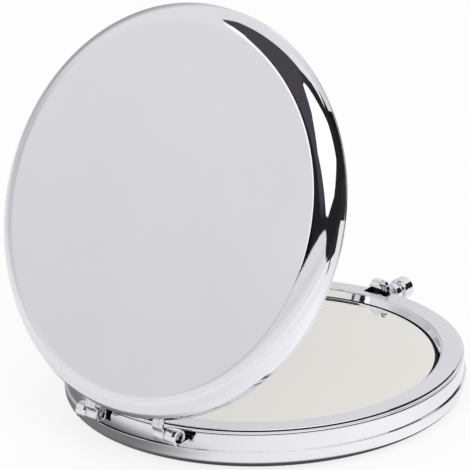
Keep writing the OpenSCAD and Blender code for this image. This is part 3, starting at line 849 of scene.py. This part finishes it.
def lid_leaf():
    """Section of the lid's leaf round the pin: roll, slit, and strip stepped up over the ring's flange."""
    rise = LID_STRIP_Z - PIN.z
    bend = -PIN.y - CASE_R - LEAF_T / 2
    reach = -PIN.y - math.sqrt(TAB_IN_R ** 2 - BARREL_IN ** 2)
    outer = arc((0, 0), KNUCKLE_R, KNUCKLE_R, 90, 360 + slit_angle(KNUCKLE_R), ROLL_STEPS)
    inner = arc((0, 0), BORE_R, BORE_R, 360 + slit_angle(BORE_R), 90, ROLL_STEPS)
    return ([(LEAF_T / 2, KNUCKLE_R, LEAF_BEND), (0, KNUCKLE_R)] + outer + inner
            + [(0, BORE_R), (LEAF_T, BORE_R, LEAF_BEND), (bend, rise, LEAF_BEND), (reach, rise),
               (reach, rise + LEAF_T), (bend - LEAF_T / 2, rise + LEAF_T, LEAF_BEND)])


def leaf_tab(from_x, from_z, to_z):
    """Tab of a leaf, curved along the inside of the wall."""
    xs = [from_x + KNUCKLE_L * k / TAB_STEPS for k in range(TAB_STEPS + 1)]
    outline = ([(x, -math.sqrt(TAB_OUT_R ** 2 - x * x)) for x in xs]
               + [(x, -math.sqrt(TAB_IN_R ** 2 - x * x)) for x in reversed(xs)])
    return extruded("tab", outline, from_z, to_z)


def hinge_leaves():
    """A leaf on the base and one on the lid for each barrel, the outer knuckle on the base."""
    at_pin = Matrix.Translation(PIN) @ ALONG_X
    for side, mirrored in SIDES:
        leaf = extruded(f"base_leaf_{side}", base_leaf(), OUTER_KNUCKLE, BARREL_OUT, LEAF_EDGE, at_pin)
        tab = leaf_tab(OUTER_KNUCKLE, BASE_STRIP_Z - BASE_TAB_DROP, BASE_STRIP_Z + LEAF_T)
        combined(leaf, [tab], "UNION")
        settle(leaf, mirrored)
        dressed(leaf, f"base_hinge_leaf_{side}", "base", hinge_chrome)
        leaf = extruded(f"lid_leaf_{side}", lid_leaf(), BARREL_IN, BARREL_IN + KNUCKLE_L, LEAF_EDGE, at_pin)
        tab = leaf_tab(BARREL_IN, LID_STRIP_Z, LID_STRIP_Z + LEAF_T + LID_TAB_RISE)
        combined(leaf, [tab], "UNION")
        settle(leaf, OPENED @ mirrored)
        dressed(leaf, f"lid_hinge_leaf_{side}", "lid", hinge_chrome)


def hinge_pins():
    """Pins with turned-down tips."""
    length = PIN_TO - PIN_FROM
    outline = [(0, 0), (PIN_TIP_R, 0, PIN_TIP_ROUND), (PIN_TIP_R, PIN_TIP_L), (PIN_R, PIN_TIP_L),
               (PIN_R, length - PIN_TIP_L), (PIN_TIP_R, length - PIN_TIP_L),
               (PIN_TIP_R, length, PIN_TIP_ROUND), (0, length)]
    for side, mirrored in SIDES:
        place = mirrored @ Matrix.Translation((PIN_FROM, PIN.y, PIN.z)) @ ALONG_X
        pin = revolved(f"pin_{side}", outline, SMALL_SEGMENTS, place)
        dressed(pin, f"hinge_pin_{side}", "base", pin_steel)


# Latch

def latch_knob():
    """Turned knob: rivet, stem, collar, waist and head."""
    length = KNOB_TO - KNOB_FROM
    head = length - HEAD_L
    waist = head - WAIST_L
    collar = waist - COLLAR_L
    outline = [(0, 0), (RIVET_R, 0, KNOB_EDGE), (RIVET_R, RIVET_H, KNOB_EDGE / 2), (STEM_R, RIVET_H),
               (STEM_R, collar), (COLLAR_R, collar, KNOB_EDGE), (COLLAR_R, waist, KNOB_EDGE),
               (WAIST_R, waist, KNOB_EDGE), (WAIST_R, head, KNOB_EDGE), (KNOB_R, head, HEAD_ROUND),
               (KNOB_R, length, HEAD_ROUND), (0, length)]
    place = Matrix.Translation((0, KNOB_FROM, KNOB_Z)) @ ALONG_Y
    knob = revolved("knob_turned", outline, KNOB_SEGMENTS, place)
    dressed(knob, "latch_knob", "latch", latch_chrome)


def hook_side():
    """Section of the hook in Y and Z: plate, undercut at the ring, and nose leaning out over the lid."""
    face_y = HOOK_Y + HOOK_T
    nose_top = HOOK_TOP - NOSE_R
    centre = (HOOK_Y + HOOK_LEAN + NOSE_R, nose_top)
    return ([(HOOK_Y + HOOK_UNDERCUT, HOOK_BOTTOM), (face_y, HOOK_BOTTOM), (face_y, NOSE_Z, HOOK_ROUND),
             (face_y + NOSE_W, NOSE_Z, HOOK_ROUND), (face_y + NOSE_W, nose_top)]
            + arc(centre, NOSE_R, NOSE_R, 0, 180, NOSE_STEPS)
            + [(HOOK_Y + HOOK_LEAN, nose_top), (HOOK_Y + HOOK_LEAN, SHOULDER_Z + HOOK_LEAN, HOOK_ROUND),
               (HOOK_Y, SHOULDER_Z, HOOK_ROUND), (HOOK_Y + HOOK_UNDERCUT, BASE_H - HOOK_UNDERCUT_DROP)])


def hook_front():
    """Outline of the hook in X and Z: tail, foot, sloped shoulders and rounded head."""
    tail_top = KNOB_Z - BOSS_R
    right = [(HOOK_TAIL_HALF_W, HOOK_BOTTOM, HOOK_ROUND), (HOOK_TAIL_HALF_W, tail_top, HOOK_ROUND),
             (HOOK_HALF_W, tail_top, HOOK_ROUND), (HOOK_HALF_W, BASE_H, HOOK_ROUND),
             (HOOK_HEAD_HALF_W, SHOULDER_Z, HOOK_ROUND), (HOOK_HEAD_HALF_W, HOOK_TOP, HOOK_HEAD_CORNER)]
    left = [(-x, z, radius) for x, z, radius in right]
    return left[:1] + right + left[:0:-1]


def latch_hook():
    """Hook plate cut to its two outlines, with its boss, the spring's nib and the stem's bore."""
    hook = extruded("hook_plate", hook_side(), -HOOK_HALF_W, HOOK_HALF_W, transform=ALONG_X)
    combined(hook, [extruded("cutter", hook_front(), 0, CASE_R, transform=TO_LATCH)], "INTERSECT")
    rounded(hook, HOOK_EDGE)
    boss_l = BOSS_TO - HOOK_Y - BOSS_INSET
    boss = rod("boss", BOSS_R, boss_l, HOOK_Y + BOSS_INSET, KNOB_Z, end_round=HOOK_EDGE)
    nib = rod("nib", NIB_R, NIB_L, HOOK_Y - NIB_OUT, SPRING_Z, start_round=NIB_ROUND)
    combined(hook, [boss, nib], "UNION")
    combined(hook, [rod("cutter", STEM_R + STEM_FIT, CASE_R, HOOK_Y - OVER, KNOB_Z)], "DIFFERENCE")
    dressed(hook, "latch_hook", "latch", latch_chrome)


def latch_spring():
    """Open coil, one smooth tube."""
    steps = SPRING_STEPS * SPRING_TURNS
    coil_r = SPRING_OUT_R - SPRING_WIRE / 2
    travel = SPRING_TO - SPRING_FROM - SPRING_WIRE
    along = Vector((0, 1, 0))
    angles = [2 * math.pi * k / SPRING_SIDES for k in range(SPRING_SIDES)]
    bm = bmesh.new()
    rings = []
    for i in range(steps + 1):
        turn = 2 * math.pi * i / SPRING_STEPS
        centre = Vector((coil_r * math.cos(turn), SPRING_FROM + SPRING_WIRE / 2 + travel * i / steps,
                         SPRING_Z + coil_r * math.sin(turn)))
        out = Vector((math.cos(turn), 0, math.sin(turn)))
        rings.append([bm.verts.new(centre + SPRING_WIRE / 2 * (out * math.cos(a) + along * math.sin(a)))
                      for a in angles])
    for low, high in zip(rings, rings[1:]):
        for k in range(SPRING_SIDES):
            after = (k + 1) % SPRING_SIDES
            bm.faces.new([low[k], low[after], high[after], high[k]])
    bm.faces.new(rings[0])
    bm.faces.new(rings[-1])
    spring = finished(bm, "spring_coil")
    dressed(spring, "latch_spring", "base", pin_steel)
    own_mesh(spring)


def plain_nodes():
    """Finishes of the CAD nodes that keep their shape."""
    for node, material in (("base_pad", backing_board), ("lid_pad", backing_board),
                           ("latch_bracket", pin_steel)):
        mesh = frame["nodes"][node].data
        mesh.materials.clear()
        mesh.materials.append(material)


# Studio

def camera():
    """Camera at the photograph's viewing angle."""
    back = direction(CAMERA_AZIMUTH, CAMERA_ELEVATION)
    turn = Matrix.Rotation(math.radians(CAMERA_ROLL), 3, back)
    right = turn @ direction(CAMERA_AZIMUTH + 90)
    up = back.cross(right)
    data = bpy.data.cameras.new("camera")
    data.lens = CAMERA_LENS
    data.sensor_width = CAMERA_SENSOR
    data.clip_start = CAMERA_NEAR
    data.clip_end = CAMERA_FAR
    obj = bpy.data.objects.new("camera", data)
    axes = Matrix((right, up, back)).transposed().to_4x4()
    obj.matrix_world = Matrix.Translation(CAMERA_TARGET + back * CAMERA_DISTANCE) @ axes
    bpy.context.scene.collection.objects.link(obj)
    bpy.context.scene.camera = obj


def glow(name, strength):
    """Plain emission."""
    material, n = new_material(name)
    n.surface(n.add("ShaderNodeEmission", Strength=strength))
    return material


def flag_grey(name):
    """Grey of the flag, which deepens downwards on the left and stays dark on the right."""
    material, n = new_material(name)
    place = n.add("ShaderNodeSeparateXYZ")
    n.join(n.place(), place.inputs["Vector"])
    high = n.range(place.outputs["Z"], FLAG_TOP_SPAN, FLAG_TOP_LEVELS, smooth=True)
    low = n.range(place.outputs["Z"], FLAG_FOOT_SPAN, FLAG_FOOT_SHARES, smooth=True)
    left = n.math("MULTIPLY", high, low)
    right = n.range(place.outputs["X"], FLAG_RIGHT_SPAN, UNIT_SPAN, smooth=True)
    light = n.add("ShaderNodeEmission", Color=FLAG_TINT)
    level = n.math("MULTIPLY_ADD", right, n.math("SUBTRACT", FLAG_RIGHT_LEVEL, left), left)
    n.join(level, light.inputs["Strength"])
    n.surface(light)
    return material


def hidden(obj, material):
    """Gives an object of the studio its finish, and leaves it to reflections alone."""
    obj.data.materials.append(material)
    obj.visible_camera = False
    obj.visible_diffuse = False
    obj.visible_shadow = False
    obj.visible_volume_scatter = False


def card(name, corners, distance, material):
    """Studio card at a distance, outlined by (azimuth, elevation) corners."""
    points = [direction(*corner) * distance for corner in corners]
    middle = sum(points, Vector()).normalized() * distance
    bm = bmesh.new()
    for here, after in zip(points, points[1:] + points[:1]):
        shares = [k / CARD_STEPS for k in range(CARD_STEPS + 1)]
        edge = [here.lerp(after, share).normalized() * distance for share in shares]
        rows = [[bm.verts.new(middle.lerp(p, share).normalized() * distance) for p in edge]
                for share in shares]
        for low, high in zip(rows, rows[1:]):
            for k in range(CARD_STEPS):
                bm.faces.new([low[k], low[k + 1], high[k + 1], high[k]])
    hidden(finished(bm, name), material)


def cards():
    """Dark flag, softboxes and grey strips, placed by what the lid's rounded edge reflects."""
    card("flag_top", FLAG_CORNERS, FLAG_DISTANCE, flag_grey("flag_top"))
    for name, (corners, distance, strength) in CARDS.items():
        card(name, corners, distance, glow(name, strength))


def dark_floor():
    """Dark sheet on the floor to the right and behind, outside the view, which only reflections show."""
    bm = bmesh.new()
    for corners in (SHEET_CORNERS, STRIP_CORNERS):
        bm.faces.new([bm.verts.new((x, y, SHEET_HEIGHT)) for x, y in corners])
    hidden(finished(bm, "dark_floor"), glow("dark_floor", SHEET_STRENGTH))


def disc(name, radius, height):
    """Flat disc round the Z axis."""
    bm = bmesh.new()
    bmesh.ops.create_circle(bm, cap_ends=True, segments=FLOOR_SEGMENTS, radius=radius)
    bmesh.ops.translate(bm, verts=bm.verts, vec=(0, 0, height))
    return finished(bm, name)


def floor_shade():
    """Painted shadow on the floor round the object for reflections, wide to the left and close in elsewhere,
    with painted light to the right.
    """
    material, n = new_material("floor_shade")
    place = n.place()
    length = n.vector("LENGTH", place).outputs["Value"]
    unit = n.vector("NORMALIZE", place).outputs["Vector"]

    def toward(side, levels, smooth=True):
        """Level that changes towards a side."""
        azimuth, cosines = side
        return n.range(n.facing(unit, azimuth), cosines, levels, smooth)

    away = n.math("SUBTRACT", length, FOOT_R)
    near = n.math("DIVIDE", away, toward(CLOSE_SIDE, CLOSE_REACH))
    near = n.range(near, UNIT_SPAN, UNIT_SPAN, smooth=True)
    faint = n.math("MULTIPLY", n.range(away, FAINT_SPAN, (FAINT_LEVEL, 0.0), smooth=True),
                   toward(FAINT_SIDE, UNIT_SPAN))
    wide = n.math("MULTIPLY", n.range(away, WIDE_SPAN, (1.0, 0.0), smooth=True), toward(WIDE_SIDE, UNIT_SPAN))
    dark = toward(DARK_SIDE, DARK_LEVELS, smooth=False)
    # Painted light on the floor towards the right
    painted_light = toward(PAINTED_LIGHT_SIDE, PAINTED_LIGHT_LEVELS)
    shaded = n.math("MULTIPLY_ADD", wide, n.math("SUBTRACT", WIDE_LEVEL, painted_light), painted_light)
    share = n.math("SUBTRACT", near, faint, clamp=True)
    light = n.add("ShaderNodeEmission")
    n.join(n.math("MULTIPLY_ADD", share, n.math("SUBTRACT", shaded, dark), dark), light.inputs["Strength"])
    clear = n.add("ShaderNodeBsdfTransparent")
    n.surface(n.blend(n.range(length, SHADE_FADE, UNIT_SPAN, smooth=True), light, clear))
    hidden(disc("floor_shade", SHADE_R, SHADE_HEIGHT), material)


def floor():
    """Pale floor that shows white with the object's soft shadow on it."""
    material, n = new_material("studio_floor")
    matt = n.add("ShaderNodeBsdfDiffuse")
    n.join(n.mix(n.noise(n.place(), scale=30), *FLOOR_TONES), matt.inputs["Color"])
    white = n.add("ShaderNodeEmission", Strength=1.0)
    share = n.math("MULTIPLY", n.add("ShaderNodeLightPath").outputs["Is Camera Ray"], FLOOR_WHITE)
    n.surface(n.blend(share, matt, white))
    obj = disc("studio_floor", FLOOR_R, 0)
    obj.data.materials.append(material)


def world():
    """White surroundings for the camera, and for reflections a white studio, a little darker low down."""
    scene = bpy.context.scene
    scene.world = bpy.data.worlds.new("studio")
    n = Nodes(scene.world)
    toward = n.add("ShaderNodeTexCoord").outputs["Generated"]
    split = n.add("ShaderNodeSeparateXYZ")
    n.join(toward, split.inputs["Vector"])
    ramp = n.add("ShaderNodeValToRGB")
    ramp.color_ramp.interpolation = "EASE"
    elements = ramp.color_ramp.elements
    while len(elements) < len(SKY_STOPS):
        elements.new(0.5)
    for element, (elevation, level) in zip(elements, SKY_STOPS):
        element.position = 0.5 + math.sin(math.radians(elevation)) / 2
        element.color = (level, level, level, 1)
    n.join(n.math("MULTIPLY_ADD", split.outputs["Z"], 0.5, 0.5), ramp.inputs["Fac"])
    level = ramp.outputs["Color"]
    for azimuth, elevation, radius, low in SKY_SPOTS:
        spot = n.range(n.facing(toward, azimuth, elevation), (math.cos(math.radians(radius)), 1.0),
                       (1.0, low), smooth=True)
        level = n.math("MULTIPLY", level, spot)
    studio = n.add("ShaderNodeBackground")
    n.join(level, studio.inputs["Color"])
    white = n.add("ShaderNodeBackground", Color=WHITE, Strength=1.0)
    camera_ray = n.add("ShaderNodeLightPath").outputs["Is Camera Ray"]
    n.surface(n.blend(camera_ray, studio, white), "ShaderNodeOutputWorld")


def lamp(name, azimuth, elevation, distance, size, radiance):
    """Soft square lamp that lights the floor and isn't seen in the metal."""
    data = bpy.data.lights.new(name, "AREA")
    data.shape = "SQUARE"
    data.size = size
    data.energy = radiance * math.pi * size * size
    obj = bpy.data.objects.new(name, data)
    toward = direction(azimuth, elevation)
    obj.location = toward * distance
    obj.rotation_mode = "QUATERNION"
    obj.rotation_quaternion = toward.to_track_quat("Z", "Y")
    obj.visible_glossy = False
    obj.visible_camera = False
    bpy.context.scene.collection.objects.link(obj)


bpy.context.scene.view_settings.view_transform = "Standard"
camera()
base_shell()
lid_shell()
framed_mirror("base", IN_BASE, BASE_SEAM_DEPTH)
framed_mirror("lid", IN_LID, LID_SEAM_DEPTH)
hinge_leaves()
hinge_pins()
latch_knob()
latch_hook()
latch_spring()
plain_nodes()
floor()
cards()
dark_floor()
floor_shade()
world()
lamp("softbox_lamp", azimuth=60, elevation=52, distance=0.9, size=0.8, radiance=1.2)
